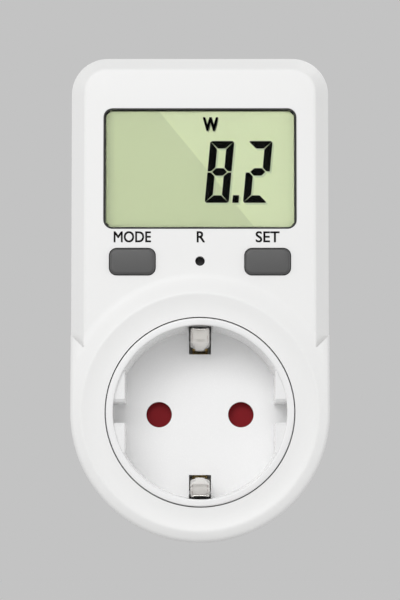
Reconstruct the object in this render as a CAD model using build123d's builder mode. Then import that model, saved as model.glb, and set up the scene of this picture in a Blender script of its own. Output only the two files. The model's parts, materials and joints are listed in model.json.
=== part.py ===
from build123d import *
import math
import os

os.makedirs("parts", exist_ok=True)

# Plug-in power meter: it hangs in a wall outlet by its own plug and passes the outlet on to a
# socket in its front. +Z is up, the front looks along -Y and the plug pins point along +Y.
# The origin is the centre of the plug's mating face. All sizes are in millimetres.

# Housing
half_width = 29.5
top_z = 81.6
corner_radius = 8.3
wall = 2.2
plug_y = 0.0
rear_y = -17.5  # back of the housing, level with the face of the wall outlet
parting_y = -36.0  # seam between the two covers
panel_y = -57.0  # flat display panel
band_width = 3.2  # sloped band round the display panel
band_depth = 5.0
band_angle = math.degrees(math.atan(band_width / band_depth))
shoulder_y = panel_y + band_depth
panel_back_y = panel_y + wall
band_end_z = 14.8  # the bands stop here, where the round socket collar starts
lip_height = 1.8
lip_inner = 3.4  # inner face of the lip, as an inset from the outline
seam_chamfer = 0.3

# Raised collar round the socket: a cone that blends into the panel at its foot, a rounded
# crest, and a shallow trough inside it
collar_foot_radius = 31.9
cone_slope = 25.0
cone_start_radius = 29.6
crest_radius = 26.9
crest_round = 0.45
trough_radius = 24.0
trough_y = panel_y - 1.2
bore_radius = 21.6
collar_edge_fillet = 1.9

# Socket, to the standard for round 16 A outlets with side earth clips
rim_y = -58.4
recess_radius = 19.75
recess_floor_radius = 19.35
insert_radius = 21.35
floor_y = rim_y + 17.5
floor_thickness = 2.4
floor_back_y = floor_y + floor_thickness
pin_offset = 9.5  # half of the 19 mm between pin centres
pin_hole_radius = 2.97
guide_flat_x = 17.1
guide_half_height = 9.8
guide_groove = 4.8
clip_window = 5.1

# Shutter, its retainer and the contact carrier, stacked behind the socket floor
shutter_thickness = 1.4
shutter_y = floor_back_y + 0.3  # front of the shutter plate
retainer_y = floor_back_y + 4.2
retainer_thickness = 1.8
carrier_y = retainer_y + retainer_thickness
carrier_thickness = 4.0
carrier_back_y = carrier_y + carrier_thickness
post_offset = 15.6 * math.sin(math.radians(45))
contact_back_y = -20.8

# Plug
pin_radius = 2.4
pin_root_radius = 1.9  # inside the boss the pins are thinner
pin_length = 19.0
boss_radius = 18.5
boss_flat_x = 16.7
boss_wall = 2.5
boss_bore = 15.2
strip_inner = 17.4  # the earth strips lie between these heights over the plug's axis
strip_outer = 18.2

# Display and keys
window_width = 44.1
window_height = 27.7
window_z = 55.6
gasket_width = 0.38
window_corner = 2.1
pane_front_y = panel_y + 0.15
pane_thickness = 1.0
key_width = 10.3
key_height = 5.95
key_gap = 0.2  # all round, to the opening in the front cover
key_x = 15.4
key_z = 34.25
key_front_y = panel_y - 0.6
key_back_y = -53.7
reset_z = 34.4
reset_radius = 1.1

# Field for a rating plate on the back
plate_field_width = 38.0
plate_field_height = 30.0
plate_field_depth = 0.35
plate_field_z = 47.0

# Boards and screws
board = 1.6
main_board_y = -49.5  # front face of the display board
main_back_y = main_board_y + board
power_board_y = -27.0  # front face of the power board
power_back_y = power_board_y + board
case_screws_at = [(-22.4, 73.2), (22.4, 73.2), (-17.6, -17.6), (17.6, -17.6)]
main_screws_at = [(-23.2, 28.0), (23.2, 28.0), (-12.0, 73.8), (12.0, 73.8)]
power_screws_at = [(-21.0, 28.0), (21.0, 28.0), (-21.0, 64.5), (21.0, 64.5)]
case_screw_seat_y = -22.0


def facing(y):
    """Sketch plane at depth y that looks to the front, so a positive extrusion goes to -Y."""
    return Plane.XZ.offset(-y)


def outline(inset=0.0):
    """Front outline of the housing: a half round below and a square with soft corners above."""
    radius = half_width - inset
    top = top_z - inset
    Circle(radius)
    with Locations((0, (top - 20) / 2)):
        Rectangle(2 * radius, top - 20)
    with Locations((0, top - 25)):
        RectangleRounded(2 * radius, 50, max(corner_radius - inset, 1.0))


def cylinder_y(x, z, radius, y_from, y_to, mode=Mode.ADD):
    """Round bar along Y between two depths."""
    with Locations(Location((x, (y_from + y_to) / 2, z), (90, 0, 0))):
        Cylinder(radius, abs(y_to - y_from), mode=mode)


def block(x_range, y_range, z_range, mode=Mode.ADD):
    """Rectangular block between two corners."""
    spans = (x_range, y_range, z_range)
    with Locations(tuple((low + high) / 2 for low, high in spans)):
        Box(*(high - low for low, high in spans), mode=mode)


def add_screw(x, z, seat_y, side, head_radius, head_height, shank_radius, shank_length):
    """Cross-head screw along Y; side is +1 when its head is on the +Y side of the seat."""
    head_y = seat_y + side * head_height
    cylinder_y(x, z, head_radius, seat_y, head_y)
    cylinder_y(x, z, shank_radius, seat_y, seat_y - side * shank_length)
    slot = 0.55 * head_radius
    deep = sorted((head_y - side * 0.45 * head_height, head_y + side))
    block((x - slot, x + slot), deep, (z - 0.3, z + 0.3), Mode.SUBTRACT)
    block((x - 0.3, x + 0.3), deep, (z - slot, z + slot), Mode.SUBTRACT)


def on_outline(point):
    """True for a point on the lower, round and straight, edge of the housing."""
    if point.Z < 0:
        return abs(math.hypot(point.X, point.Z) - half_width) < 0.01
    return abs(abs(point.X) - half_width) < 0.01


def collar_rim_edges(housing):
    """Front edges of the collar and its shoulder where they meet the sides of the housing."""
    front = housing.edges().filter_by(lambda edge: edge.center().Y < panel_y + 0.01)
    return front.filter_by(lambda edge: all(on_outline(edge @ share) for share in (0, 0.5, 1)))


def save(part, name):
    part.label = name
    export_step(part, f"parts/{name}.step")


# ---------------------------------------------------------------- housing

def shoulder_corners(climb=()):
    """Corners of the part of the front that the collar and its shoulder may cover. The sloped
    bands end at slanted corners; climb lists further corners on the panel between them."""
    edge, over = half_width - band_width + 0.3, half_width + 1
    right = [(over, -over), (over, band_end_z + over - edge), (edge, band_end_z), *climb]
    return right + [(-x, z) for x, z in reversed(right)]


# Collar profile: the blend at the foot is an arc from level to the slope of the cone
blend = collar_foot_radius - cone_start_radius
half_slope = math.radians(cone_slope / 2)
blend_radius = blend / math.sin(2 * half_slope)
blend_middle = (
    collar_foot_radius - blend_radius * math.sin(half_slope),
    panel_y - blend_radius * (1 - math.cos(half_slope)),
)
cone_start = (cone_start_radius, panel_y - blend * math.tan(half_slope))
cone_run = cone_start_radius - crest_radius - crest_round
cone_end = (crest_radius + crest_round, cone_start[1] - cone_run * math.tan(2 * half_slope))
crest = (crest_radius, cone_end[1] - 0.1)
trough_start = (crest_radius - crest_round, cone_end[1])
trough_end = (bore_radius, trough_y - 0.05)

with BuildPart() as collar:
    with BuildSketch(Plane.XY):
        with BuildLine():
            Polyline(
                trough_end,
                (bore_radius, shoulder_y + 2),
                (collar_foot_radius, shoulder_y + 2),
                (collar_foot_radius, panel_y),
            )
            ThreePointArc((collar_foot_radius, panel_y), blend_middle, cone_start)
            Line(cone_start, cone_end)
            ThreePointArc(cone_end, crest, trough_start)
            ThreePointArc(trough_start, (trough_radius, trough_y), trough_end)
        make_face()
    revolve(axis=Axis.Y)
    with BuildSketch(facing(shoulder_y + 3)):
        outline()
        with BuildLine():
            panel_edge_x = half_width - band_width
            climb = [(panel_edge_x, band_end_z), (panel_edge_x, collar_foot_radius + 1)]
            Polyline(*shoulder_corners(climb), close=True)
        make_face(mode=Mode.INTERSECT)
    extrude(amount=12, mode=Mode.INTERSECT)

with BuildPart() as front_cover:
    with BuildSketch(facing(parting_y)):
        outline()
    extrude(amount=parting_y - shoulder_y)
    seam_face = front_cover.faces().sort_by(Axis.Y)[-1]
    chamfer(seam_face.edges(), seam_chamfer)
    with BuildSketch(facing(shoulder_y)):
        outline()
    extrude(amount=band_depth, taper=band_angle)
    fillet(front_cover.faces().sort_by(Axis.Y)[0].edges(), 0.9)
    # Full-width shoulder under the socket collar; its upper ends cut the sloped bands off
    with BuildSketch(facing(shoulder_y + 0.5)):
        outline()
        with BuildLine():
            Polyline(*shoulder_corners(), close=True)
        make_face(mode=Mode.INTERSECT)
    extrude(amount=band_depth + 0.5)
    add(collar.part)
    fillet(collar_rim_edges(front_cover), collar_edge_fillet)
    # Hollow inside, following the bands
    with BuildSketch(facing(parting_y)):
        outline(wall)
    extrude(amount=parting_y - shoulder_y - 1.2, mode=Mode.SUBTRACT)
    with BuildSketch(facing(shoulder_y + 1.2)):
        outline(wall)
    extrude(
        amount=shoulder_y + 1.2 - panel_back_y, taper=band_angle, mode=Mode.SUBTRACT
    )
    # Bosses for the case screws and for the display board
    for x, z in case_screws_at:
        cylinder_y(x, z, 2.9, parting_y - 0.05, panel_back_y - 0.3)
    for x, z in main_screws_at:
        cylinder_y(x, z, 2.2, main_board_y, panel_back_y - 0.3)
    for x, z in case_screws_at:
        cylinder_y(x, z, 1.25, parting_y + 1, parting_y - 15, Mode.SUBTRACT)
    for x, z in main_screws_at:
        cylinder_y(x, z, 0.95, main_board_y + 1, main_board_y - 4.2, Mode.SUBTRACT)
    # Openings for the socket, the display window, the keys and the reset pin
    with BuildSketch(facing(shoulder_y + 1)):
        Circle(bore_radius)
        with Locations((0, window_z)):
            RectangleRounded(window_width, window_height, window_corner)
        with Locations((-key_x, key_z), (key_x, key_z)):
            RectangleRounded(key_width + 2 * key_gap, key_height + 2 * key_gap, 1.8)
        with Locations((0, reset_z)):
            Circle(reset_radius)
    extrude(amount=12, mode=Mode.SUBTRACT)
save(front_cover.part, "front_cover")

with BuildPart() as rear_cover:
    with BuildSketch(facing(rear_y)):
        outline()
    extrude(amount=rear_y - parting_y)
    chamfer(rear_cover.faces().sort_by(Axis.Y)[0].edges(), seam_chamfer)
    fillet(rear_cover.faces().sort_by(Axis.Y)[-1].edges(), 4.0)
    with BuildSketch(facing(rear_y - wall)):
        outline(wall)
    extrude(amount=20, mode=Mode.SUBTRACT)
    # Locating lip that enters the front cover
    with BuildSketch(facing(parting_y + 3)):
        outline(wall - 0.2)
    extrude(amount=3)
    with BuildSketch(facing(parting_y)):
        outline(wall + 0.15)
    extrude(amount=lip_height)
    with BuildSketch(facing(parting_y + 4)):
        outline(lip_inner)
    extrude(amount=8, mode=Mode.SUBTRACT)
    # Shallow field for a rating plate
    with BuildSketch(facing(rear_y + 0.01)):
        with Locations((0, plate_field_z)):
            RectangleRounded(plate_field_width, plate_field_height, 2.0)
    extrude(amount=plate_field_depth + 0.01, mode=Mode.SUBTRACT)
    # Plug boss with side flats, a guide rib on each flat and grooves for the earth strips
    with BuildSketch(facing(plug_y)):
        Circle(boss_radius)
        for side in (-1, 1):
            for up in (-1, 1):
                with Locations((side * (boss_flat_x + 1.5), up * 6.25)):
                    Rectangle(3.0, 8.3, mode=Mode.SUBTRACT)
    extrude(amount=-rear_y + 1)
    chamfer(rear_cover.faces().sort_by(Axis.Y)[-1].edges(), 0.6)
    cylinder_y(0, 0, boss_bore, -boss_wall, rear_y - 4, Mode.SUBTRACT)
    for up in (-1, 1):
        slot = sorted((up * (strip_inner - 0.1), up * (strip_outer + 0.1)))
        groove = sorted((up * (strip_inner - 0.1), up * (boss_radius + 0.5)))
        block((-2.65, 2.65), (rear_y - 4, rear_y + 0.05), slot, Mode.SUBTRACT)
        block((-2.65, 2.65), (rear_y, 1), groove, Mode.SUBTRACT)
    # Case screw bosses, board bosses and two ribs that press on the contact carrier
    for x, z in case_screws_at:
        cylinder_y(x, z, 4.0, rear_y - wall + 0.1, -25.0)
        cylinder_y(x, z, 3.2, -24.9, parting_y)
        cylinder_y(x, z, 3.35, parting_y, parting_y - 3, Mode.SUBTRACT)
    for x, z in power_screws_at:
        cylinder_y(x, z, 2.6, rear_y - wall + 0.1, power_back_y)
    for side in (-1, 1):
        rib = sorted((side * 15.9, side * 18.6))
        block(rib, (carrier_back_y, rear_y - wall + 0.1), (-2, 2))
    for x, z in case_screws_at:
        cylinder_y(x, z, 1.7, rear_y, parting_y - 1, Mode.SUBTRACT)
        cylinder_y(x, z, 3.1, rear_y + 1, case_screw_seat_y, Mode.SUBTRACT)
    for x, z in power_screws_at:
        cylinder_y(x, z, 0.95, power_back_y - 1, rear_y - wall - 0.6, Mode.SUBTRACT)
    for side in (-1, 1):
        cylinder_y(side * pin_offset, 0, pin_root_radius + 0.05, 1, -4, Mode.SUBTRACT)
save(rear_cover.part, "rear_cover")

# ---------------------------------------------------------------- socket

with BuildPart() as socket_insert:
    with BuildSketch(Plane.XY):
        with BuildLine():
            Polyline(
                (0, floor_y),
                (recess_floor_radius, floor_y),
                (recess_radius, rim_y),
                (insert_radius, rim_y),
                (insert_radius, panel_back_y + 0.05),
                (insert_radius + 1.7, panel_back_y + 0.05),
                (insert_radius + 1.7, panel_back_y + 1.8),
                (insert_radius, panel_back_y + 1.8),
                (insert_radius, floor_back_y),
                (0, floor_back_y),
                close=True,
            )
        make_face()
    revolve(axis=Axis.Y)
    fillet(socket_insert.faces().sort_by(Axis.Y)[0].edges(), 0.35)
    # Guide blocks: round segments with a flat, split by a groove
    for side in (-1, 1):
        for up in (-1, 1):
            with BuildSketch(facing(floor_y + 0.2)):
                Circle(recess_floor_radius + 0.4)
                middle_z = (guide_half_height + guide_groove / 2) / 2
                with Locations((side * (guide_flat_x + 2), up * middle_z)):
                    Rectangle(
                        4, guide_half_height - guide_groove / 2, mode=Mode.INTERSECT
                    )
            extrude(amount=floor_y + 0.2 - rim_y - 1.0)
    guide_tips = socket_insert.faces().filter_by(Axis.Y).sort_by(Axis.Y)[1:5]
    chamfer(guide_tips.edges().filter_by(Axis.X), 0.6)
    # Pivot and posts for the shutter behind the floor
    cylinder_y(0, 0, 1.5, floor_back_y - 0.2, retainer_y + 1.0)
    for side in (-1, 1):
        for up in (-1, 1):
            x, z = side * post_offset, up * post_offset
            cylinder_y(x, z, 1.9, floor_back_y - 0.2, retainer_y)
            cylinder_y(x, z, 0.8, floor_back_y - 1.2, retainer_y + 1, Mode.SUBTRACT)
    # Grooves between the guide blocks, cut on into the wall
    for side in (-1, 1):
        radial = sorted((side * 18.0, side * 20.2))
        half = guide_groove / 2
        block(radial, (rim_y + 1.0, floor_y), (-half, half), Mode.SUBTRACT)
    # Pin holes, windows for the earth clips and room for the lower case bosses
    for side in (-1, 1):
        cylinder_y(
            side * pin_offset, 0, pin_hole_radius, floor_y - 1, floor_back_y + 1, Mode.SUBTRACT
        )
    for up in (-1, 1):
        radial = sorted((up * 14.0, up * 20.5))
        half = clip_window / 2
        block((-half, half), (rim_y + 1.2, floor_back_y + 1), radial, Mode.SUBTRACT)
    for x, z in case_screws_at[2:]:
        cylinder_y(x, z, 3.2, panel_back_y - 1, panel_back_y + 5, Mode.SUBTRACT)
save(socket_insert.part, "socket_insert")

with BuildPart() as shutter:
    with BuildSketch(facing(shutter_y + shutter_thickness)):
        SlotCenterToCenter(2 * pin_offset, 7.2)
    extrude(amount=shutter_thickness)
    chamfer(shutter.faces().sort_by(Axis.Y)[0].edges(), 0.4)
    cylinder_y(0, 0, 3.0, shutter_y + 0.5, retainer_y - 0.3)
    cylinder_y(0, 0, 1.56, shutter_y - 1, retainer_y + 1, Mode.SUBTRACT)
save(shutter.part, "shutter")

with BuildPart() as shutter_spring:
    spring_start = shutter_y + shutter_thickness + 0.45
    with BuildLine():
        coil = Helix(
            pitch=0.6, height=1.2, radius=3.6, center=(0, spring_start, 0), direction=(0, 1, 0)
        )
    with BuildSketch(Plane(origin=coil @ 0, z_dir=coil % 0)):
        Circle(0.22)
    sweep()
save(shutter_spring.part, "shutter_spring")

with BuildPart() as shutter_retainer:
    with BuildSketch(facing(carrier_y)):
        Circle(17.4)
        with Locations((-pin_offset, 0), (pin_offset, 0)):
            Circle(3.2, mode=Mode.SUBTRACT)
        Circle(1.6, mode=Mode.SUBTRACT)
        with GridLocations(2 * post_offset, 2 * post_offset, 2, 2):
            Circle(0.9, mode=Mode.SUBTRACT)
        with Locations((0, 14.9), (0, -14.9)):
            Rectangle(3.6, 3.2, mode=Mode.SUBTRACT)
    extrude(amount=retainer_thickness)
save(shutter_retainer.part, "shutter_retainer")

with BuildPart() as contact_carrier:
    with BuildSketch(facing(carrier_back_y)):
        Circle(17.2)
        with Locations((-pin_offset, 0), (pin_offset, 0)):
            Rectangle(5.4, 6.6, mode=Mode.SUBTRACT)
        with GridLocations(2 * post_offset, 2 * post_offset, 2, 2):
            Circle(0.9, mode=Mode.SUBTRACT)
        with Locations((0, 15.0), (0, -15.0)):
            Rectangle(4.6, 3.6, mode=Mode.SUBTRACT)
    extrude(amount=carrier_thickness)
save(contact_carrier.part, "contact_carrier")


def tulip_contact(x):
    """Two spring leaves round a 4.8 mm pin, joined by a base plate at the back."""
    with BuildPart() as contact:
        for up in (-1, 1):
            leaf = sorted((up * 2.5, up * 3.1))
            block((x - 2.5, x + 2.5), (carrier_y + 0.5, contact_back_y), leaf)
        block((x - 2.5, x + 2.5), (contact_back_y - 0.6, contact_back_y), (-3.1, 3.1))
    return contact.part


save(tulip_contact(-pin_offset), "line_contact")
save(tulip_contact(pin_offset), "neutral_contact")


def earth_clip(up):
    """Springy strip: a wide leaf that leans inwards from the rim, then a narrow neck."""
    with BuildPart() as clip:
        with BuildSketch(Plane.YZ):
            with BuildLine():
                Polyline((-56.6, up * 19.0), (-52.0, up * 16.3), (-47.4, up * 15.1))
            trace(line_width=0.7)
        extrude(amount=2.25, both=True)
        with BuildSketch(Plane.YZ):
            with BuildLine():
                Polyline((-48.4, up * 15.36), (-43.5, up * 14.6), (-30.5, up * 14.6))
            trace(line_width=0.7)
        extrude(amount=1.25, both=True)
    return clip.part


save(earth_clip(1), "upper_earth_clip")
save(earth_clip(-1), "lower_earth_clip")

strap_y = -25.9
with BuildPart() as earth_strap:
    block((-2, 2), (strap_y - 0.6, strap_y), (-15.9, 15.9))
    for up in (-1, 1):
        leg = sorted((up * 15.3, up * 15.9))
        block((-2, 2), (carrier_y + 1.0, strap_y), leg)
save(earth_strap.part, "earth_strap")

bracket_y = rear_y - wall - 0.1
with BuildPart() as plug_earth_bracket:
    block((-2.5, 2.5), (bracket_y - 0.8, bracket_y), (-strip_outer, strip_outer))
    for up in (-1, 1):
        leg = sorted((up * strip_inner, up * strip_outer))
        block((-2.5, 2.5), (bracket_y - 0.8, -1.2), leg)
save(plug_earth_bracket.part, "plug_earth_bracket")

with BuildPart() as earth_post:
    cylinder_y(0, 0, 1.2, strap_y, bracket_y - 0.8)
save(earth_post.part, "earth_post")

with BuildPart() as retainer_screws:
    for side in (-1, 1):
        for up in (-1, 1):
            x, z = side * post_offset, up * post_offset
            add_screw(x, z, carrier_back_y, 1, 1.7, 1.2, 0.75, 9.4)
save(retainer_screws.part, "retainer_screws")

# ---------------------------------------------------------------- plug


def plug_pin(x, tail_end_y):
    """Round plug pin with a domed tip, a holding flange and a thinner tail inside."""
    with BuildPart() as pin:
        cylinder_y(x, 0, pin_radius, plug_y, pin_length)
        fillet(pin.edges().sort_by(Axis.Y)[-1], pin_radius - 0.1)
        cylinder_y(x, 0, pin_root_radius, -12.0, plug_y)
        cylinder_y(x, 0, 3.8, -4.55, -boss_wall - 0.05)
        cylinder_y(x, 0, 1.6, -11.9, tail_end_y)
    return pin.part


save(plug_pin(-pin_offset, -16.0), "line_pin")
save(plug_pin(pin_offset, contact_back_y), "neutral_pin")

with BuildPart() as pin_holder:
    cylinder_y(0, 0, boss_bore - 0.2, -12.0, -4.6)
    for side in (-1, 1):
        cylinder_y(side * pin_offset, 0, pin_root_radius + 0.05, -3, -13, Mode.SUBTRACT)
    chamfer(pin_holder.faces().sort_by(Axis.Y)[0].outer_wire().edges(), 0.6)
save(pin_holder.part, "pin_holder")

# ---------------------------------------------------------------- display

with BuildPart() as window_gasket:
    with BuildSketch(facing(panel_back_y + 0.8)):
        with Locations((0, window_z)):
            RectangleRounded(window_width - 0.1, window_height - 0.1, window_corner)
    extrude(amount=wall + 0.75)
    with BuildSketch(facing(panel_back_y + 0.8)):
        with Locations((0, window_z)):
            RectangleRounded(window_width + 2.4, window_height + 2.5, 2.5)
    extrude(amount=0.75)
    with BuildSketch(facing(panel_back_y + 1)):
        with Locations((0, window_z)):
            RectangleRounded(
                window_width - 2 * gasket_width,
                window_height - 2 * gasket_width,
                window_corner - gasket_width,
            )
    extrude(amount=6, mode=Mode.SUBTRACT)
save(window_gasket.part, "window_gasket")

pane_width = window_width - 2 * gasket_width - 0.1
pane_height = window_height - 2 * gasket_width - 0.1
with BuildPart() as display_window:
    with BuildSketch(facing(pane_front_y + pane_thickness)):
        with Locations((0, window_z)):
            RectangleRounded(pane_width, pane_height, window_corner - gasket_width)
    extrude(amount=pane_thickness)
save(display_window.part, "display_window")

lcd_thickness = 2.2
lcd_back_y = pane_front_y + pane_thickness + 0.1 + lcd_thickness
with BuildPart() as lcd_glass:
    with BuildSketch(facing(lcd_back_y)):
        with Locations((0, window_z)):
            Rectangle(pane_width - 0.3, pane_height - 0.3)
    extrude(amount=lcd_thickness)
    chamfer(lcd_glass.edges().filter_by(Axis.Y), 1.0)
save(lcd_glass.part, "lcd_glass")

with BuildPart() as lcd_holder:
    holder_back_y = main_board_y - 0.1
    with BuildSketch(facing(holder_back_y)):
        with Locations((0, window_z)):
            RectangleRounded(48.0, 31.1, 1.5)
            Rectangle(40.0, 25.0, mode=Mode.SUBTRACT)
        with Locations(*case_screws_at[:2]):
            Circle(3.4, mode=Mode.SUBTRACT)
    extrude(amount=holder_back_y + 53.9)
    with BuildSketch(facing(lcd_back_y + 0.1)):
        with Locations((0, window_z)):
            Rectangle(pane_width + 0.2, pane_height + 0.2)
    extrude(amount=3, mode=Mode.SUBTRACT)
save(lcd_holder.part, "lcd_holder")

with BuildPart() as elastomer_connector:
    block((-18, 18), (lcd_back_y, main_board_y), (window_z - 11.6, window_z - 10.0))
save(elastomer_connector.part, "elastomer_connector")

with BuildPart() as main_board:
    with BuildSketch(facing(main_back_y)):
        with Locations((0, 51.1)):
            RectangleRounded(51.2, 50.2, 1.0)
        with Locations((-22.1, 73.0), (22.1, 73.0)):
            Rectangle(7.4, 7.6, mode=Mode.SUBTRACT)
        with Locations(*main_screws_at):
            Circle(1.0, mode=Mode.SUBTRACT)
    extrude(amount=board)
save(main_board.part, "main_board")

with BuildPart() as main_board_screws:
    for x, z in main_screws_at:
        add_screw(x, z, main_back_y, 1, 2.0, 1.4, 0.9, 5.4)
save(main_board_screws.part, "main_board_screws")

with BuildPart() as controller_chip:
    block((-5.5, 5.5), (main_back_y, main_back_y + 1.6), (51.5, 62.5))
    chamfer(controller_chip.faces().sort_by(Axis.Y)[-1].edges(), 0.3)
save(controller_chip.part, "controller_chip")

with BuildPart() as crystal:
    with Locations((15.0, main_back_y + 1.6, 58.0)):
        Cylinder(1.5, 8.0)
    fillet(crystal.edges(), 0.4)
save(crystal.part, "crystal")

cell_radius = 5.75
cell_length = 5.3
battery_z = 44.8
battery_y = main_back_y + cell_radius + 0.1
with BuildPart() as battery_cells:
    for place in range(3):
        x = 2.75 + place * (cell_length + 0.1)
        with Locations(Location((x, battery_y, battery_z), (0, 90, 0))):
            Cylinder(cell_radius, cell_length)
save(battery_cells.part, "battery_cells")

with BuildPart() as battery_tabs:
    for x in (-0.3, 16.2):
        block((x, x + 0.3), (main_back_y, battery_y + 1), (battery_z - 2, battery_z + 2))
save(battery_tabs.part, "battery_tabs")

# ---------------------------------------------------------------- keys


def key_cap(x):
    """Key with a wider flange that stops it behind the front cover."""
    with BuildPart() as cap:
        with BuildSketch(facing(key_back_y)):
            with Locations((x, key_z)):
                RectangleRounded(key_width, key_height, 1.6)
        extrude(amount=key_back_y - key_front_y)
        fillet(cap.faces().sort_by(Axis.Y)[0].edges(), 0.6)
        with BuildSketch(facing(key_back_y)):
            with Locations((x, key_z)):
                RectangleRounded(key_width + 1.4, key_height + 1.4, 1.6)
        extrude(amount=0.9)
    return cap.part


def switch_body(x, z):
    """Small push switch on the display board, open in front for its plunger."""
    with BuildPart() as body:
        block((x - 3, x + 3), (main_board_y - 3.2, main_board_y), (z - 3, z + 3))
        chamfer(body.edges().filter_by(Axis.Y), 0.4)
        cylinder_y(x, z, 1.75, main_board_y - 4, main_board_y - 1.6, Mode.SUBTRACT)
    return body.part


def switch_plunger(x, z, tip_y):
    """Round plunger that rides in the switch."""
    with BuildPart() as plunger:
        cylinder_y(x, z, 1.7, main_board_y - 2.3, tip_y)
    return plunger.part


save(key_cap(-key_x), "mode_key")
save(key_cap(key_x), "set_key")
save(switch_body(-key_x, key_z), "mode_switch")
save(switch_body(key_x, key_z), "set_switch")
save(switch_body(0, reset_z), "reset_switch")
save(switch_plunger(-key_x, key_z, key_back_y + 0.1), "mode_plunger")
save(switch_plunger(key_x, key_z, key_back_y + 0.1), "set_plunger")
save(switch_plunger(0, reset_z, key_back_y), "reset_plunger")

# ---------------------------------------------------------------- power board

with BuildPart() as power_board:
    with BuildSketch(facing(power_back_y)):
        with Locations((0, 46)):
            RectangleRounded(48.0, 44.0, 1.0)
        with Locations(*power_screws_at):
            Circle(1.0, mode=Mode.SUBTRACT)
    extrude(amount=board)
save(power_board.part, "power_board")

with BuildPart() as power_board_screws:
    for x, z in power_screws_at:
        add_screw(x, z, power_board_y, -1, 2.0, 1.4, 0.9, 5.4)
save(power_board_screws.part, "power_board_screws")

with BuildPart() as film_capacitor:
    block((-18, 0), (power_board_y - 14, power_board_y), (29.75, 38.25))
    fillet(film_capacitor.edges().filter_by(Axis.Y), 0.8)
save(film_capacitor.part, "film_capacitor")

with BuildPart() as electrolytic_capacitor:
    cylinder_y(8, 33.5, 4.2, power_board_y, power_board_y - 12.5)
    fillet(electrolytic_capacitor.edges().sort_by(Axis.Y)[0], 0.5)
save(electrolytic_capacitor.part, "electrolytic_capacitor")

with BuildPart() as varistor:
    with Locations(Location((18, power_board_y - 6.2, 36), (0, 90, 0))):
        Cylinder(5.0, 4.0)
    for z in (33.5, 38.5):
        cylinder_y(18, z, 0.4, power_board_y, power_board_y - 3)
save(varistor.part, "varistor")

fuse_y = power_board_y - 3.6
with BuildPart() as fuse:
    with Locations(Location((-8, fuse_y, 46), (0, 90, 0))):
        Cylinder(2.5, 20)
save(fuse.part, "fuse")

with BuildPart() as fuse_clips:
    for x in (-16.0, 0.0):
        block((x - 1.5, x + 1.5), (fuse_y - 1.5, power_board_y), (42.7, 49.3))
        with Locations(Location((x, fuse_y, 46), (0, 90, 0))):
            Cylinder(2.55, 4, mode=Mode.SUBTRACT)
        block((x - 2, x + 2), (fuse_y - 3, fuse_y), (44.2, 47.8), Mode.SUBTRACT)
save(fuse_clips.part, "fuse_clips")

with BuildPart() as bridge_rectifier:
    block((9, 19), (power_board_y - 3, power_board_y), (43.7, 50.2))
    chamfer(bridge_rectifier.edges().filter_by(Axis.Y), 0.8)
save(bridge_rectifier.part, "bridge_rectifier")

with BuildPart() as shunt_resistor:
    block((-14, -2), (power_board_y - 5, power_board_y - 4.2), (54.5, 57.5))
    for x in (-14, -2.8):
        block((x, x + 0.8), (power_board_y - 5, power_board_y), (54.5, 57.5))
save(shunt_resistor.part, "shunt_resistor")

link_z = 65.5
with BuildPart() as board_headers:
    for y in (power_board_y - 2.5, main_back_y):
        block((-6.5, 6.5), (y, y + 2.5), (link_z - 1.3, link_z + 1.3))
save(board_headers.part, "board_headers")

with BuildPart() as ribbon_cable:
    block((-6, 6), (main_back_y + 2.5, power_board_y - 2.5), (link_z - 0.45, link_z + 0.45))
save(ribbon_cable.part, "ribbon_cable")


def insulated_wire(points, radii):
    """Round wire of 2 mm diameter along straight runs and tangent arcs."""
    with BuildPart() as wire:
        with BuildLine():
            path = FilletPolyline(*points, radius=radii)
        with BuildSketch(Plane(origin=path @ 0, z_dir=path % 0)):
            Circle(1.0)
        sweep()
    return wire.part


wire_y = -22.8
line_wire_route = [
    (-pin_offset, -14.5, 1.6),
    (-pin_offset, -14.5, 5.5),
    (-pin_offset, wire_y, 9.5),
    (-11, wire_y, 19),
    (-11, wire_y, 33),
    (-11, power_back_y, 33),
]
load_wire_route = [
    (-8.6, -24.6, 3.1),
    (-8.6, -24.6, 7.0),
    (-5, wire_y, 17),
    (-5, wire_y, 30.5),
    (-5, power_back_y, 30.5),
]
neutral_wire_route = [
    (pin_offset, -23.6, 3.1),
    (pin_offset, -23.6, 9.0),
    (11, wire_y, 19),
    (11, wire_y, 33),
    (11, power_back_y, 33),
]
save(insulated_wire(line_wire_route, [1.6, 1.8, 4.0, 1.3]), "line_wire")
save(insulated_wire(load_wire_route, [3.0, 4.0, 1.3]), "load_wire")
save(insulated_wire(neutral_wire_route, [4.0, 4.0, 1.3]), "neutral_wire")

# ---------------------------------------------------------------- case screws

with BuildPart() as case_screws:
    for x, z in case_screws_at:
        add_screw(x, z, case_screw_seat_y, 1, 2.8, 1.9, 1.2, 26.0)
save(case_screws.part, "case_screws")
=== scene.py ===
import json
from math import cos, pi, radians, sin, tan

import bmesh
import bpy
from mathutils import Matrix, Vector


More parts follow.
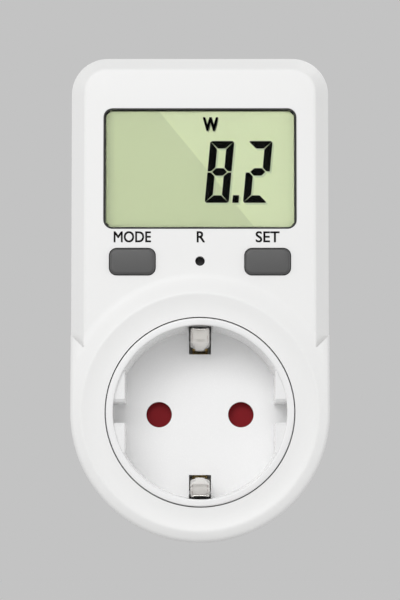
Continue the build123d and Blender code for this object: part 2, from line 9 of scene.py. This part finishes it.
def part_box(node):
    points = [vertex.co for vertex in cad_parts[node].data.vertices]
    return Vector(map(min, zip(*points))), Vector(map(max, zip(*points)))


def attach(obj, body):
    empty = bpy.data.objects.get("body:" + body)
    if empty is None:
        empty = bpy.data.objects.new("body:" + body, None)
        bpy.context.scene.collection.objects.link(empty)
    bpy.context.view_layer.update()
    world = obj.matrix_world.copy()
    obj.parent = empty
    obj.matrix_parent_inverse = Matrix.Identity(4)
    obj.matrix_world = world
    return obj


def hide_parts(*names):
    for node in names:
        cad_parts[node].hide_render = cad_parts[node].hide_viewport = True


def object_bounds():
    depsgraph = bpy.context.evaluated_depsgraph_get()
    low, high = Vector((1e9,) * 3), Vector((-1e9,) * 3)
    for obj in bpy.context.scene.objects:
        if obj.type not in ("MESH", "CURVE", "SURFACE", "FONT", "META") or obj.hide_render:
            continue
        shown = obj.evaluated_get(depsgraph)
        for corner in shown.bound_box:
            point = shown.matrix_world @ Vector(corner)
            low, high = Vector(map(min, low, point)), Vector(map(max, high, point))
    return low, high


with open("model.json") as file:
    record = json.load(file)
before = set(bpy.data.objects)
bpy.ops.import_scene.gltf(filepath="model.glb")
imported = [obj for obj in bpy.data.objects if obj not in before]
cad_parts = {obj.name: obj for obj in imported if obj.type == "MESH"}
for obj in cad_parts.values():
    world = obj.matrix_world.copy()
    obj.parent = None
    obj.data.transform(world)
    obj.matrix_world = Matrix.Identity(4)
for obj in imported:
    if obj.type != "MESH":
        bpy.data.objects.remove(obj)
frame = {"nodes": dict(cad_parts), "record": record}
cad_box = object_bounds()
MM = 0.001
NODES = frame["nodes"]

# ------------------------------------------------------------------ sizes, from the frame

pane_low, pane_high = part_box("display_window")
lcd_low, lcd_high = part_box("lcd_glass")
key_low, key_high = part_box("mode_key")
insert_low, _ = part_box("socket_insert")

LCD_FACE = lcd_low[1]
KEY_PROUD = 0.6 * MM  # how far the keys stand out of the panel
KEY_FLANGE = 0.7 * MM  # hidden rim of a key, past the part that shows
PANEL_FACE = key_low[1] + KEY_PROUD
RIM_FACE = insert_low[1]
KEY_X = -(key_low[0] + key_high[0]) / 2
KEY_TOP = key_high[2] - KEY_FLANGE

DIGIT_HEIGHT = 14.2 * MM
DIGIT_WIDTH = 5.5 * MM
BAR = 1.72 * MM  # width of one bar of a digit
BAR_GAP = 0.13 * MM
DIGIT_NIB = 0.22 * MM  # cut off a digit's outer corners
SLANT = radians(5.3)
DIGIT_LEFT = {"8": 1.05 * MM, "2": 9.8 * MM}  # lower left corner of each digit
DIGIT_FOOT = pane_low[2] + 5.65 * MM
POINT_LEFT, POINT_WIDTH, POINT_HEIGHT = 7.35 * MM, 1.45 * MM, 1.75 * MM
INK = 0.02 * MM  # thickness of print and of the display's bars
BAR_SHADOW_OFFSET = (0.36 * MM, -0.42 * MM)  # painted shadow of the bars, offset to the lower right on the film behind them

UNIT_PLACE = (2.4 * MM, pane_low[2] + 23.7 * MM)
UNIT_SIZE = (3.5 * MM, 3.3 * MM)
UNIT_SHADOW_SHARE = 0.6  # the unit's painted shadow is nearer than that of the digits
UNIT_WEIGHT = 0.11 * MM  # extra stroke width to each side
LEGEND_WEIGHT = 0.055 * MM
LEGEND_HEIGHT = 2.55 * MM
LEGEND_RISE = 2.7 * MM  # middle of a legend over the top of its key
LEGENDS = (
    ("mode_legend", "MODE", -KEY_X, 8.5 * MM),
    ("reset_legend", "R", 0.2 * MM, 1.9 * MM),
    ("set_legend", "SET", KEY_X, 5.45 * MM),
)


# ------------------------------------------------------------------ shared shader groups


def link(tree, source, target):
    tree.links.new(source, target)


def node(tree, kind, **settings):
    made = tree.nodes.new(kind)
    for name, value in settings.items():
        setattr(made, name, value)
    return made


def group(name, inputs, outputs):
    """New shader group with float or colour sockets; returns its tree, inputs and outputs."""
    tree = bpy.data.node_groups.new(name, "ShaderNodeTree")
    for label, kind in inputs:
        tree.interface.new_socket(label, in_out="INPUT", socket_type=kind)
    for label, kind in outputs:
        tree.interface.new_socket(label, in_out="OUTPUT", socket_type=kind)
    return tree, node(tree, "NodeGroupInput").outputs, node(tree, "NodeGroupOutput").inputs


def noise(tree, scale, detail=2.0, stretch=None):
    """Noise on Object coordinates; scale is in features per metre."""
    place = node(tree, "ShaderNodeTexCoord").outputs["Object"]
    if stretch:
        mapping = node(tree, "ShaderNodeMapping")
        mapping.inputs["Scale"].default_value = stretch
        link(tree, place, mapping.inputs["Vector"])
        place = mapping.outputs["Vector"]
    texture = node(tree, "ShaderNodeTexNoise")
    texture.inputs["Scale"].default_value = scale
    texture.inputs["Detail"].default_value = detail
    link(tree, place, texture.inputs["Vector"])
    return texture.outputs["Fac"]


def math_node(tree, operation, first, second):
    made = node(tree, "ShaderNodeMath", operation=operation)
    for socket, value in zip(made.inputs, (first, second)):
        if isinstance(value, (int, float)):
            socket.default_value = value
        else:
            link(tree, value, socket)
    return made.outputs[0]


def around(tree, fac, centre, spread):
    """centre + (fac - 0.5) * spread."""
    centred = math_node(tree, "SUBTRACT", fac, 0.5)
    return math_node(tree, "ADD", math_node(tree, "MULTIPLY", centred, spread), centre)


SKIN_OUTPUTS = [
    ("Color", "NodeSocketColor"),
    ("Roughness", "NodeSocketFloat"),
    ("Height", "NodeSocketFloat"),
]


def moulded_skin_group():
    """Moulded plastic: fine spark-eroded grain, and a faint drift of tone and gloss."""
    tree, given, out = group(
        "moulded_skin",
        [
            ("Color", "NodeSocketColor"),
            ("Roughness", "NodeSocketFloat"),
            ("Tone drift", "NodeSocketFloat"),
        ],
        SKIN_OUTPUTS,
    )
    grain = noise(tree, 5200, 3.0)
    cloud = noise(tree, 70, 2.0)
    gain = around(tree, cloud, 1.0, given["Tone drift"])
    tint = node(tree, "ShaderNodeMix", data_type="RGBA", blend_type="MULTIPLY")
    tint.inputs["Factor"].default_value = 1.0
    grey = node(tree, "ShaderNodeCombineColor")
    for socket in grey.inputs:
        link(tree, gain, socket)
    link(tree, given["Color"], tint.inputs["A"])
    link(tree, grey.outputs["Color"], tint.inputs["B"])
    link(tree, tint.outputs["Result"], out["Color"])
    rough = math_node(tree, "ADD", given["Roughness"], around(tree, grain, 0.0, 0.12))
    link(tree, rough, out["Roughness"])
    link(tree, grain, out["Height"])
    return tree


def drawn_metal_group():
    """Plated strip: fine drawing lines along its length, and a slight haze."""
    tree, given, out = group(
        "drawn_metal",
        [("Color", "NodeSocketColor"), ("Roughness", "NodeSocketFloat")],
        SKIN_OUTPUTS,
    )
    lines = noise(tree, 5000, 2.0, stretch=(1.0, 0.04, 0.3))
    haze = noise(tree, 350, 3.0)
    rough = math_node(tree, "ADD", given["Roughness"], around(tree, lines, 0.0, 0.15))
    rough = math_node(tree, "ADD", rough, around(tree, haze, 0.0, 0.16))
    shade = node(tree, "ShaderNodeMix", data_type="RGBA", blend_type="MULTIPLY")
    link(tree, math_node(tree, "MULTIPLY", haze, 0.3), shade.inputs["Factor"])
    link(tree, given["Color"], shade.inputs["A"])
    shade.inputs["B"].default_value = (0.72, 0.7, 0.66, 1)
    link(tree, shade.outputs["Result"], out["Color"])
    link(tree, rough, out["Roughness"])
    link(tree, lines, out["Height"])
    return tree


MOULDED_SKIN = moulded_skin_group()
DRAWN_METAL = drawn_metal_group()


# ------------------------------------------------------------------ materials


GRAIN_DEPTH = 0.02 * MM
DRAWN_DEPTH = 0.01 * MM
COAT_ROUGHNESS = 0.09


def blank_material(name):
    material = bpy.data.materials.new(name)
    material.use_nodes = True
    tree = material.node_tree
    return material, tree, tree.nodes["Principled BSDF"]


def skin_from(tree, shader, skin, colour, settings, bump_strength, bump_depth):
    """Places a shared group in a material and feeds the shader's colour, roughness and bump."""
    effect = node(tree, "ShaderNodeGroup", node_tree=skin)
    effect.inputs["Color"].default_value = (*colour, 1)
    for name, value in settings.items():
        effect.inputs[name].default_value = value
    link(tree, effect.outputs["Color"], shader.inputs["Base Color"])
    link(tree, effect.outputs["Roughness"], shader.inputs["Roughness"])
    bump = node(tree, "ShaderNodeBump")
    bump.inputs["Strength"].default_value = bump_strength
    bump.inputs["Distance"].default_value = bump_depth
    link(tree, effect.outputs["Height"], bump.inputs["Height"])
    link(tree, bump.outputs["Normal"], shader.inputs["Normal"])


def plastic(name, colour, roughness, grain=0.25, drift=0.03, shine=0.5):
    """Moulded plastic; grain is its bump strength, drift its tone drift, shine its gloss."""
    material, tree, shader = blank_material(name)
    settings = {"Roughness": roughness, "Tone drift": drift}
    skin_from(tree, shader, MOULDED_SKIN, colour, settings, grain, GRAIN_DEPTH)
    shader.inputs["Specular IOR Level"].default_value = shine
    return material


RIM_PAINTED_SHADE = 0.88  # painted shade on the rim, as a share of the recess's brightness
RIM_FADE = (1.2 * MM, 4.0 * MM)  # depths behind the rim's face


def socket_plastic(name, colour, roughness):
    """Glossy white moulding with painted shade at its rim, so that the rim is greyer than the
    recess: the painted shade fades out between two depths behind the rim's face."""
    material, tree, shader = blank_material(name)
    settings = {"Roughness": roughness, "Tone drift": 0.01}
    skin_from(tree, shader, MOULDED_SKIN, colour, settings, 0.08, GRAIN_DEPTH)
    place = node(tree, "ShaderNodeSeparateXYZ")
    link(tree, node(tree, "ShaderNodeTexCoord").outputs["Object"], place.inputs["Vector"])
    fade = node(tree, "ShaderNodeMapRange", interpolation_type="SMOOTHSTEP")
    fade.inputs["From Min"].default_value = RIM_FACE + RIM_FADE[0]
    fade.inputs["From Max"].default_value = RIM_FACE + RIM_FADE[1]
    link(tree, place.outputs["Y"], fade.inputs["Value"])
    # painted shade: the rim's colour is darkened, and the recess keeps the full tone
    tint = node(tree, "ShaderNodeMix", data_type="RGBA")
    tint.inputs["A"].default_value = (*(RIM_PAINTED_SHADE * part for part in colour), 1)
    moulded = shader.inputs["Base Color"].links[0].from_socket
    link(tree, fade.outputs["Result"], tint.inputs["Factor"])
    link(tree, moulded, tint.inputs["B"])
    link(tree, tint.outputs["Result"], shader.inputs["Base Color"])
    shader.inputs["Coat Weight"].default_value = 0.2
    shader.inputs["Coat Roughness"].default_value = COAT_ROUGHNESS
    return material


def metal(name, colour, roughness):
    material, tree, shader = blank_material(name)
    skin_from(tree, shader, DRAWN_METAL, colour, {"Roughness": roughness}, 0.3, DRAWN_DEPTH)
    shader.inputs["Metallic"].default_value = 1.0
    return material


def clear_pane():
    """Clear acrylic that lets light through to the display behind it."""
    material, tree, shader = blank_material("clear_pane")
    shader.inputs["Base Color"].default_value = (0.97, 0.985, 0.96, 1)
    shader.inputs["Transmission Weight"].default_value = 1.0
    shader.inputs["IOR"].default_value = 1.13
    rough = around(tree, noise(tree, 120, 2.0), 0.01, 0.01)
    link(tree, rough, shader.inputs["Roughness"])
    return material


# Display film: the line of its painted reflection step, and the strips of painted shade and
# painted light along its left and upper edges
PAINTED_GLARE_TOP_X, PAINTED_GLARE_BOTTOM_X = -9.5 * MM, 12.5 * MM
PAINTED_GLARE_SOFTNESS = 0.25 * MM
LEFT_SHADE, LEFT_SHADE_WIDTH = 0.80, 2.6 * MM
# painted light: the film is brightened under its upper edge, where the gasket and pane cast shade
UPPER_PAINTED_LIGHT, UPPER_PAINTED_LIGHT_WIDTH = 1.15, 1.6 * MM


def display_film():
    """Grey-green LCD film with a painted reflection step across it, painted shade along its left
    edge and a painted light strip under its upper edge.
    """
    material, tree, shader = blank_material("display_film")
    place = node(tree, "ShaderNodeSeparateXYZ")
    link(tree, node(tree, "ShaderNodeTexCoord").outputs["Object"], place.inputs["Vector"])
    x, z = place.outputs["X"], place.outputs["Z"]
    # Painted reflection: a step to a paler tone along a line from the upper left to the lower
    # right
    slope = (PAINTED_GLARE_BOTTOM_X - PAINTED_GLARE_TOP_X) / (pane_high[2] - pane_low[2])
    line_x = math_node(tree, "MULTIPLY", math_node(tree, "SUBTRACT", pane_high[2], z), slope)
    past = math_node(tree, "SUBTRACT", math_node(tree, "SUBTRACT", x, PAINTED_GLARE_TOP_X), line_x)
    step = node(tree, "ShaderNodeMapRange", interpolation_type="SMOOTHSTEP")
    step.inputs["From Min"].default_value = -PAINTED_GLARE_SOFTNESS
    step.inputs["From Max"].default_value = PAINTED_GLARE_SOFTNESS
    link(tree, past, step.inputs["Value"])
    film = node(tree, "ShaderNodeMix", data_type="RGBA")
    # painted reflection: the darker film tone lies left of the line, the paler tone right of it
    film.inputs["A"].default_value = (0.665, 0.735, 0.475, 1)
    film.inputs["B"].default_value = (0.78, 0.855, 0.565, 1)
    link(tree, step.outputs["Result"], film.inputs["Factor"])
    # Painted shade that falls from the left edge, and a strip of painted light under the upper
    # edge
    left = node(tree, "ShaderNodeMapRange", interpolation_type="SMOOTHSTEP")
    left.inputs["From Min"].default_value = pane_low[0]
    left.inputs["From Max"].default_value = pane_low[0] + LEFT_SHADE_WIDTH
    left.inputs["To Min"].default_value = LEFT_SHADE
    link(tree, x, left.inputs["Value"])
    upper = node(tree, "ShaderNodeMapRange", interpolation_type="SMOOTHSTEP")
    upper.inputs["From Min"].default_value = pane_high[2]
    upper.inputs["From Max"].default_value = pane_high[2] - UPPER_PAINTED_LIGHT_WIDTH
    upper.inputs["To Min"].default_value = UPPER_PAINTED_LIGHT
    link(tree, z, upper.inputs["Value"])
    gain = math_node(tree, "MULTIPLY", left.outputs["Result"], upper.outputs["Result"])
    fleck = around(tree, noise(tree, 3000, 2.0), 1.0, 0.05)
    gain = math_node(tree, "MULTIPLY", gain, fleck)
    grey = node(tree, "ShaderNodeCombineColor")
    for socket in grey.inputs:
        link(tree, gain, socket)
    shade = node(tree, "ShaderNodeMix", data_type="RGBA", blend_type="MULTIPLY")
    shade.inputs["Factor"].default_value = 1.0
    link(tree, film.outputs["Result"], shade.inputs["A"])
    link(tree, grey.outputs["Color"], shade.inputs["B"])
    link(tree, shade.outputs["Result"], shader.inputs["Base Color"])
    shader.inputs["Roughness"].default_value = 0.5
    shader.inputs["Specular IOR Level"].default_value = 0.1
    return material


def circuit_board():
    """Green solder mask with paler copper tracks showing through it."""
    material, tree, shader = blank_material("circuit_board")
    place = node(tree, "ShaderNodeTexCoord").outputs["Object"]
    cells = node(tree, "ShaderNodeTexVoronoi", distance="CHEBYCHEV", feature="DISTANCE_TO_EDGE")
    cells.inputs["Scale"].default_value = 260
    link(tree, place, cells.inputs["Vector"])
    track = math_node(tree, "GREATER_THAN", cells.outputs["Distance"], 0.12)
    mask = node(tree, "ShaderNodeMix", data_type="RGBA")
    mask.inputs["A"].default_value = (0.10, 0.30, 0.13, 1)
    mask.inputs["B"].default_value = (0.02, 0.14, 0.06, 1)
    link(tree, track, mask.inputs["Factor"])
    link(tree, mask.outputs["Result"], shader.inputs["Base Color"])
    rough = around(tree, noise(tree, 900, 2.0), 0.32, 0.15)
    link(tree, rough, shader.inputs["Roughness"])
    return material


PRINT_INK = plastic("print_ink", (0.03, 0.022, 0.022), 0.6, grain=0.1, shine=0.2)
LCD_INK = plastic("lcd_ink", (0.002, 0.002, 0.002), 0.6, grain=0.05, shine=0.0)
# painted shadow of the display's bars: a film tone darker than the film around it
LCD_PAINTED_SHADOW = plastic("lcd_painted_shadow", (0.60, 0.68, 0.46), 0.6, grain=0.05, shine=0.0)

FINISHES = {
    "white_housing": plastic(
        "white_housing", (0.805, 0.805, 0.8), 0.38, grain=0.2, drift=0.015, shine=0.3
    ),
    "white_socket": socket_plastic("white_socket", (0.93, 0.93, 0.93), 0.26),
    "red_shutter": plastic(
        "red_shutter", (0.215, 0.004, 0.009), 0.5, grain=0.2, drift=0.1, shine=0.15
    ),
    "inner_plastic": plastic("inner_plastic", (0.6, 0.59, 0.55), 0.5),
    "grey_key": plastic(
        "grey_key", (0.058, 0.058, 0.058), 0.4, grain=0.35, drift=0.06, shine=0.6
    ),
    "black_plastic": plastic("black_plastic", (0.015, 0.015, 0.016), 0.45),
    "black_rubber": plastic("black_rubber", (0.012, 0.012, 0.012), 0.6, grain=0.3),
    "clear_pane": clear_pane(),
    "lcd": display_film(),
    "nickel": metal("nickel", (0.72, 0.70, 0.67), 0.22),
    "brass": metal("brass", (0.70, 0.50, 0.20), 0.28),
    "steel": metal("steel", (0.55, 0.55, 0.56), 0.32),
    "circuit_board": circuit_board(),
    "component_blue": plastic("component_blue", (0.03, 0.11, 0.4), 0.3),
    "component_yellow": plastic("component_yellow", (0.7, 0.48, 0.05), 0.35),
    "fuse_ceramic": plastic("fuse_ceramic", (0.8, 0.78, 0.72), 0.4),
    "battery_green": plastic("battery_green", (0.05, 0.32, 0.1), 0.3),
    "wire_brown": plastic("wire_brown", (0.12, 0.035, 0.012), 0.45),
    "wire_blue": plastic("wire_blue", (0.02, 0.07, 0.4), 0.45),
    "wire_grey": plastic("wire_grey", (0.35, 0.35, 0.36), 0.45),
}


# ------------------------------------------------------------------ CAD nodes: shading, finish


WELD_DISTANCE = 0.0005 * MM
SMOOTH_ANGLE = radians(28)


def soft_shading_modifier():
    """Geometry nodes that weld the mesh and shade smooth across its gentle edges."""
    tree = bpy.data.node_groups.new("soft_shading", "GeometryNodeTree")
    tree.interface.new_socket("Geometry", in_out="INPUT", socket_type="NodeSocketGeometry")
    tree.interface.new_socket("Geometry", in_out="OUTPUT", socket_type="NodeSocketGeometry")
    given, out = node(tree, "NodeGroupInput"), node(tree, "NodeGroupOutput")
    weld = node(tree, "GeometryNodeMergeByDistance")
    weld.inputs["Distance"].default_value = WELD_DISTANCE
    faces = node(tree, "GeometryNodeSetShadeSmooth", domain="FACE")
    edges = node(tree, "GeometryNodeSetShadeSmooth", domain="EDGE")
    angle = node(tree, "GeometryNodeInputMeshEdgeAngle")
    gentle = node(tree, "FunctionNodeCompare", data_type="FLOAT", operation="LESS_EQUAL")
    link(tree, angle.outputs["Unsigned Angle"], gentle.inputs["A"])
    gentle.inputs["B"].default_value = SMOOTH_ANGLE
    link(tree, given.outputs[0], weld.inputs["Geometry"])
    link(tree, weld.outputs["Geometry"], faces.inputs["Geometry"])
    link(tree, faces.outputs["Geometry"], edges.inputs["Geometry"])
    link(tree, gentle.outputs["Result"], edges.inputs["Shade Smooth"])
    link(tree, edges.outputs["Geometry"], out.inputs[0])
    return tree


def finish_cad_nodes():
    shading = soft_shading_modifier()
    slots = {row["node"]: row["material_slot"] for row in frame["record"]["subparts"]}
    for name, cad_object in NODES.items():
        cad_object.data.materials.clear()
        cad_object.data.materials.append(FINISHES[slots[name]])
        modifier = cad_object.modifiers.new("soft_shading", "NODES")
        modifier.node_group = shading


# ------------------------------------------------------------------ printed and displayed marks


def add_piece(name, mesh_or_bmesh, material, body="housing"):
    if isinstance(mesh_or_bmesh, bmesh.types.BMesh):
        mesh = bpy.data.meshes.new(name)
        bmesh.ops.recalc_face_normals(mesh_or_bmesh, faces=mesh_or_bmesh.faces)
        mesh_or_bmesh.to_mesh(mesh)
        mesh_or_bmesh.free()
    else:
        mesh = mesh_or_bmesh
    mesh.materials.clear()
    mesh.materials.append(material)
    made = bpy.data.objects.new(name, mesh)
    bpy.context.scene.collection.objects.link(made)
    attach(made, body)
    return made


def verts_of(result):
    return [part for part in result["geom"] if isinstance(part, bmesh.types.BMVert)]


def edges_of(result):
    return [part for part in result["geom"] if isinstance(part, bmesh.types.BMEdge)]


def add_plate(bm, corners, y, thickness):
    """Flat plate with these (x, z) corners, standing thickness proud of the plane y."""
    face = bm.faces.new([bm.verts.new((x, y, z)) for x, z in corners])
    extruded = bmesh.ops.extrude_face_region(bm, geom=[face])
    bmesh.ops.translate(bm, verts=verts_of(extruded), vec=(0, -thickness, 0))


def bar_corners(segment):
    """Corners of one bar of an upright digit whose lower left corner is at 0, 0."""
    w, h, t, g = DIGIT_WIDTH, DIGIT_HEIGHT, BAR, BAR_GAP
    nib = DIGIT_NIB
    mid = h / 2
    flat = t / 2
    upright = [(0, mid + g), (0, h - nib - g), (nib, h - nib)]
    upright += [(t, h - t - g), (t, mid + flat + g), (t / 2, mid + g)]
    across = [(nib + g, h), (w - nib - g, h), (w - nib, h - nib)]
    across += [(w - t - g, h - t), (t + g, h - t), (nib, h - nib)]
    if segment == "middle":
        return [
            (t / 2 + g, mid), (t + g, mid + flat), (w - t - g, mid + flat),
            (w - t / 2 - g, mid), (w - t - g, mid - flat), (t + g, mid - flat),
        ]
    corners = across if segment in ("top", "bottom") else upright
    if segment in ("bottom", "lower_left", "lower_right"):
        corners = [(x, h - z) for x, z in corners]
    if segment in ("upper_right", "lower_right"):
        corners = [(w - x, z) for x, z in corners]
    return corners


DIGITS = {
    "8": ("top", "upper_left", "upper_right", "middle", "lower_left", "lower_right", "bottom"),
    "2": ("top", "upper_right", "middle", "lower_left", "bottom"),
}


def lean(corners, left, foot, shift=(0, 0)):
    """Moves upright corners to a digit's place and slants them."""
    return [(left + x + z * tan(SLANT) + shift[0], foot + z + shift[1]) for x, z in corners]


def reading_mesh(shift, y):
    """Bars of the reading 8.2 and its decimal point."""
    bm = bmesh.new()
    for figure, left in DIGIT_LEFT.items():
        for segment in DIGITS[figure]:
            add_plate(bm, lean(bar_corners(segment), left, DIGIT_FOOT, shift), y, INK)
    point = [(0, 0), (POINT_WIDTH, 0), (POINT_WIDTH, POINT_HEIGHT), (0, POINT_HEIGHT)]
    add_plate(bm, lean(point, POINT_LEFT, DIGIT_FOOT, shift), y, INK)
    return bm


def lettering(name, words, centre, size, y, material, weight):
    """Plain letters of a set width and cap height as a thin flat mesh. Four overlapping copies,
    each shifted by weight, make the strokes bolder."""
    curve = bpy.data.curves.new(name, "FONT")
    curve.body = words
    curve.align_x, curve.align_y = "CENTER", "CENTER"
    curve.extrude = 0.01
    curve.resolution_u = 6
    source = bpy.data.objects.new(name + "_source", curve)
    letters = bpy.data.meshes.new_from_object(source)
    bpy.data.objects.remove(source)
    low = Vector([min(v.co[i] for v in letters.vertices) for i in range(3)])
    high = Vector([max(v.co[i] for v in letters.vertices) for i in range(3)])
    middle, spread = (low + high) / 2, high - low
    width, height = size[0] - 2 * weight, size[1] - 2 * weight
    fit = Matrix.Diagonal((width / spread.x, height / spread.y, INK / spread.z, 1))
    turn = Matrix.Rotation(radians(90), 4, "X")
    bm = bmesh.new()
    for right in (-weight, weight):
        for up in (-weight, weight):
            copy = letters.copy()
            place = Matrix.Translation((centre[0] + right, y - INK / 2, centre[1] + up))
            copy.transform(place @ turn @ fit @ Matrix.Translation(-middle))
            bm.from_mesh(copy)
            bpy.data.meshes.remove(copy)
    bpy.data.meshes.remove(letters)
    return add_piece(name, bm, material)


def display_marks():
    # painted shadows of the bars and the unit, lying under the black ink
    add_piece("reading_painted_shadow", reading_mesh(BAR_SHADOW_OFFSET, LCD_FACE), LCD_PAINTED_SHADOW)
    add_piece("reading", reading_mesh((0, 0), LCD_FACE - INK), LCD_INK)
    shadow_place = Vector(UNIT_PLACE) + Vector(BAR_SHADOW_OFFSET) * UNIT_SHADOW_SHARE
    lettering("unit_painted_shadow", "W", shadow_place, UNIT_SIZE, LCD_FACE, LCD_PAINTED_SHADOW, UNIT_WEIGHT)
    lettering("unit", "W", UNIT_PLACE, UNIT_SIZE, LCD_FACE - INK, LCD_INK, UNIT_WEIGHT)


def key_legends():
    row = KEY_TOP + LEGEND_RISE
    for name, words, x, width in LEGENDS:
        size = (width, LEGEND_HEIGHT)
        lettering(name, words, (x, row), size, PANEL_FACE, PRINT_INK, LEGEND_WEIGHT)


# ------------------------------------------------------------------ earth clips

# Stations along an earth clip from the rim inwards: depth y, height z over the socket axis, half
# width, and how far the sides are turned back; all in mm
CLIP_STATIONS = (
    (-56.55, 18.75, 1.6, 0.25),
    (-56.2, 18.55, 2.1, 0.3),
    (-53.4, 17.0, 2.2, 0.55),
    (-52.6, 16.7, 2.2, 0.6),
    (-52.2, 16.3, 2.2, 0.6),
    (-51.4, 16.05, 2.2, 0.6),
    (-47.6, 14.98, 2.2, 0.6),
    (-47.3, 14.9, 1.3, 0.2),
    (-43.5, 14.6, 1.2, 0.2),
    (-30.6, 14.6, 1.2, 0.2),
)
# Section across a clip: shares of its half width and of the turn of its sides
CLIP_SECTION = (
    (-1, 1), (-0.93, 0.45), (-0.72, 0.1), (-0.3, 0),
    (0.3, 0), (0.72, 0.1), (0.93, 0.45), (1, 1),
)
CLIP_THICKNESS = 0.28 * MM


def earth_clip(name, replaced, body, up):
    """Pressed spring leaf with turned-back sides and a crease across its middle: its section is
    drawn out from station to station and then thickened."""
    bm = bmesh.new()
    start_y, start_z, start_width, start_turn = CLIP_STATIONS[0]
    section = [
        (share * start_width, start_y, up * (start_z + turn * start_turn))
        for share, turn in CLIP_SECTION
    ]
    verts = [bm.verts.new(Vector(corner) * MM) for corner in section]
    edges = [bm.edges.new(pair) for pair in zip(verts, verts[1:])]
    for (y, z, width, turn), (next_y, next_z, next_width, next_turn) in zip(
        CLIP_STATIONS, CLIP_STATIONS[1:]
    ):
        drawn = bmesh.ops.extrude_edge_only(bm, edges=edges)
        verts, edges = verts_of(drawn), edges_of(drawn)
        pivot = Matrix.Translation((0, -y * MM, -up * z * MM))
        growth = (next_width / width, 1, next_turn / turn)
        bmesh.ops.scale(bm, verts=verts, vec=growth, space=pivot)
        step = Vector((0, next_y - y, up * (next_z - z))) * MM
        bmesh.ops.translate(bm, verts=verts, vec=step)
    for face in bm.faces:
        face.smooth = True
    back = bmesh.ops.extrude_face_region(bm, geom=list(bm.faces))
    bmesh.ops.translate(bm, verts=verts_of(back), vec=(0, 0, up * CLIP_THICKNESS))
    clip = add_piece(name, bm, FINISHES["nickel"], body)
    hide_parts(replaced)


# ------------------------------------------------------------------ stage, light and camera

FLOOR_DROP = 150 * MM
FLOOR_HALF = 6.0  # half of the floor's side, in metres
FLOOR_TONE = (0.88, 0.88, 0.88)
FLOOR_BOUNCE = (0.62, 0.62, 0.62)  # kept low, so that undersides stay in shade
SKY_LIGHT = 0.62


def studio():
    floor_z = cad_box[0][2] - FLOOR_DROP
    bm = bmesh.new()
    bmesh.ops.create_grid(bm, x_segments=1, y_segments=1, size=FLOOR_HALF)
    bmesh.ops.translate(bm, verts=bm.verts, vec=(0, 0, floor_z))
    mesh = bpy.data.meshes.new("floor")
    bm.to_mesh(mesh)
    bm.free()
    floor = bpy.data.objects.new("floor", mesh)
    bpy.context.scene.collection.objects.link(floor)
    material, tree, shader = blank_material("floor_paint")
    tone = node(tree, "ShaderNodeMix", data_type="RGBA")
    tone.inputs["A"].default_value = (*FLOOR_BOUNCE, 1)
    tone.inputs["B"].default_value = (*FLOOR_TONE, 1)
    link(tree, node(tree, "ShaderNodeLightPath").outputs["Is Camera Ray"], tone.inputs["Factor"])
    link(tree, tone.outputs["Result"], shader.inputs["Base Color"])
    link(tree, around(tree, noise(tree, 3.0, 2.0), 0.9, 0.1), shader.inputs["Roughness"])
    shader.inputs["Specular IOR Level"].default_value = 0.0
    mesh.materials.append(material)


def sky():
    """Even pale light; what the camera sees of it has the tone of the far floor, so that the
    two meet without a horizon."""
    world = bpy.data.worlds.new("studio")
    world.use_nodes = True
    tree = world.node_tree
    lighting = tree.nodes["Background"]
    lighting.inputs["Color"].default_value = (SKY_LIGHT, SKY_LIGHT, SKY_LIGHT, 1)
    backdrop = node(tree, "ShaderNodeBackground")
    backdrop.inputs["Color"].default_value = (*(SKY_LIGHT * tone for tone in FLOOR_TONE), 1)
    chosen = node(tree, "ShaderNodeMixShader")
    link(tree, node(tree, "ShaderNodeLightPath").outputs["Is Camera Ray"], chosen.inputs[0])
    link(tree, lighting.outputs[0], chosen.inputs[1])
    link(tree, backdrop.outputs[0], chosen.inputs[2])
    link(tree, chosen.outputs[0], tree.nodes["World Output"].inputs["Surface"])
    bpy.context.scene.world = world
    bpy.context.scene.view_settings.view_transform = "Standard"


def soft_light(name, place, aim, size, power):
    data = bpy.data.lights.new(name, "AREA")
    data.shape = "RECTANGLE"
    data.size, data.size_y = size
    data.energy = power
    lamp = bpy.data.objects.new(name, data)
    lamp.location = place
    lamp.rotation_euler = (Vector(aim) - Vector(place)).to_track_quat("-Z", "Y").to_euler()
    bpy.context.scene.collection.objects.link(lamp)


def lights():
    middle = (0, -0.04, 0.02)  # near the object's middle, in metres
    soft_light("key_light", (-0.2, -0.97, 0.42), middle, (0.7, 0.4), 4.4)
    soft_light("right_light", (0.9, -0.35, 0.15), middle, (0.4, 0.7), 1.5)
    soft_light("left_light", (-0.9, -0.35, 0.15), middle, (0.4, 0.7), 1.1)
    soft_light("back_light", (0.3, 0.8, 0.6), middle, (0.6, 0.6), 2.0)


CAMERA_DISTANCE = 0.65
CAMERA_TILT = radians(4.27)
FRAME_HEIGHT = 136.4 * MM  # what the view's height spans at the front panel
SEEN_HEIGHT = 25.5 * MM  # the view's middle, over the socket's axis
SENSOR_HEIGHT = 24


def camera():
    data = bpy.data.cameras.new("camera")
    data.sensor_fit = "VERTICAL"
    data.sensor_height = SENSOR_HEIGHT
    data.lens = data.sensor_height * CAMERA_DISTANCE / FRAME_HEIGHT
    data.clip_start = 0.01
    seen_centre = Vector((0, PANEL_FACE, SEEN_HEIGHT))
    made = bpy.data.objects.new("camera", data)
    made.location = seen_centre - CAMERA_DISTANCE * Vector((0, cos(CAMERA_TILT), sin(CAMERA_TILT)))
    made.rotation_euler = (pi / 2 + CAMERA_TILT, 0, 0)
    bpy.context.scene.collection.objects.link(made)
    bpy.context.scene.camera = made


finish_cad_nodes()
display_marks()
key_legends()
earth_clip("upper_clip_leaf", "upper_earth_clip", "upper_clip_body", 1)
earth_clip("lower_clip_leaf", "lower_earth_clip", "lower_clip_body", -1)
studio()
sky()
lights()
camera()
